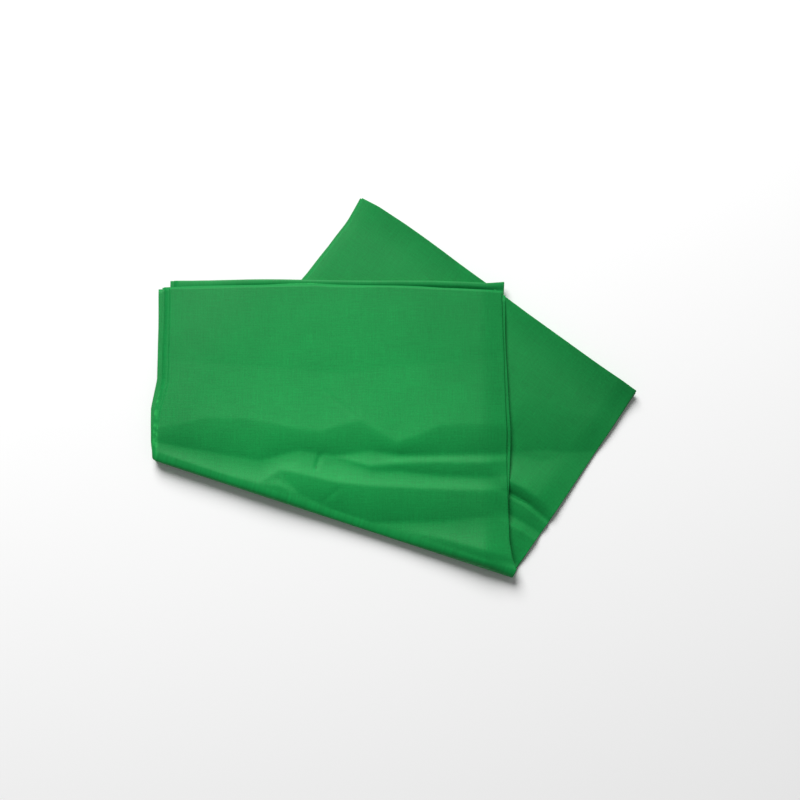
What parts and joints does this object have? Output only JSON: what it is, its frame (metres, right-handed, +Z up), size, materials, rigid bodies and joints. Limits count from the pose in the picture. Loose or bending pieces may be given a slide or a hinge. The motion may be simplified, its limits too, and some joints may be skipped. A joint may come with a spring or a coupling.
{
  "type": "folded backdrop cloth",
  "caption": "Chroma-green studio backdrop cloth, folded flat into a layered packet, with its front end turned back over it along an oblique fold that opens.",
  "frame": {"origin": "on the table, under the middle of the folded packet's outline", "axes": "+Z up off the table, +X along the flap's free edge, +Y from the oblique fold towards the flap's free edge"},
  "size_m": [0.5162, 0.4165, 0.0189],
  "materials": {
    "cloth": "matt weave with a soft sheen"
  },
  "bodies": {
    "rear": {"rear_leaf_1": "cloth", "rear_leaf_2": "cloth", "rear_leaf_3": "cloth", "rear_leaf_4": "cloth", "far_end_crease_1": "cloth", "far_end_crease_2": "cloth", "far_end_crease_3": "cloth", "far_end_crease_4": "cloth", "far_end_crease_5": "cloth", "far_end_crease_6": "cloth", "far_end_crease_7": "cloth", "far_end_crease_8": "cloth", "oblique_fold_layer_01": "cloth", "oblique_fold_layer_02": "cloth", "oblique_fold_layer_03": "cloth", "oblique_fold_layer_04": "cloth", "oblique_fold_layer_05": "cloth", "oblique_fold_layer_06": "cloth", "oblique_fold_layer_07": "cloth", "oblique_fold_layer_08": "cloth", "oblique_fold_layer_09": "cloth", "oblique_fold_layer_10": "cloth", "oblique_fold_layer_11": "cloth", "oblique_fold_layer_12": "cloth", "oblique_fold_layer_13": "cloth", "oblique_fold_layer_14": "cloth", "oblique_fold_layer_15": "cloth", "oblique_fold_layer_16": "cloth"},
    "flap": {"flap_leaf_1": "cloth", "flap_leaf_2": "cloth", "flap_leaf_3": "cloth", "flap_leaf_4": "cloth", "flap_end_crease_1": "cloth", "flap_end_crease_2": "cloth", "flap_end_crease_3": "cloth", "flap_end_crease_4": "cloth"}
  },
  "joints": [
    {"name": "oblique_fold", "type": "hinge", "parent": "rear", "child": "flap", "pos_m": [-0.06546, -0.13769, 0.00945], "axis": [0.9511, -0.309, 0], "range_deg": [0, 179.9], "deforming": ["oblique_fold_layer_01", "oblique_fold_layer_02", "oblique_fold_layer_03", "oblique_fold_layer_04", "oblique_fold_layer_05", "oblique_fold_layer_06", "oblique_fold_layer_07", "oblique_fold_layer_08", "oblique_fold_layer_09", "oblique_fold_layer_10", "oblique_fold_layer_11", "oblique_fold_layer_12", "oblique_fold_layer_13", "oblique_fold_layer_14", "oblique_fold_layer_15", "oblique_fold_layer_16"]}
  ]
}
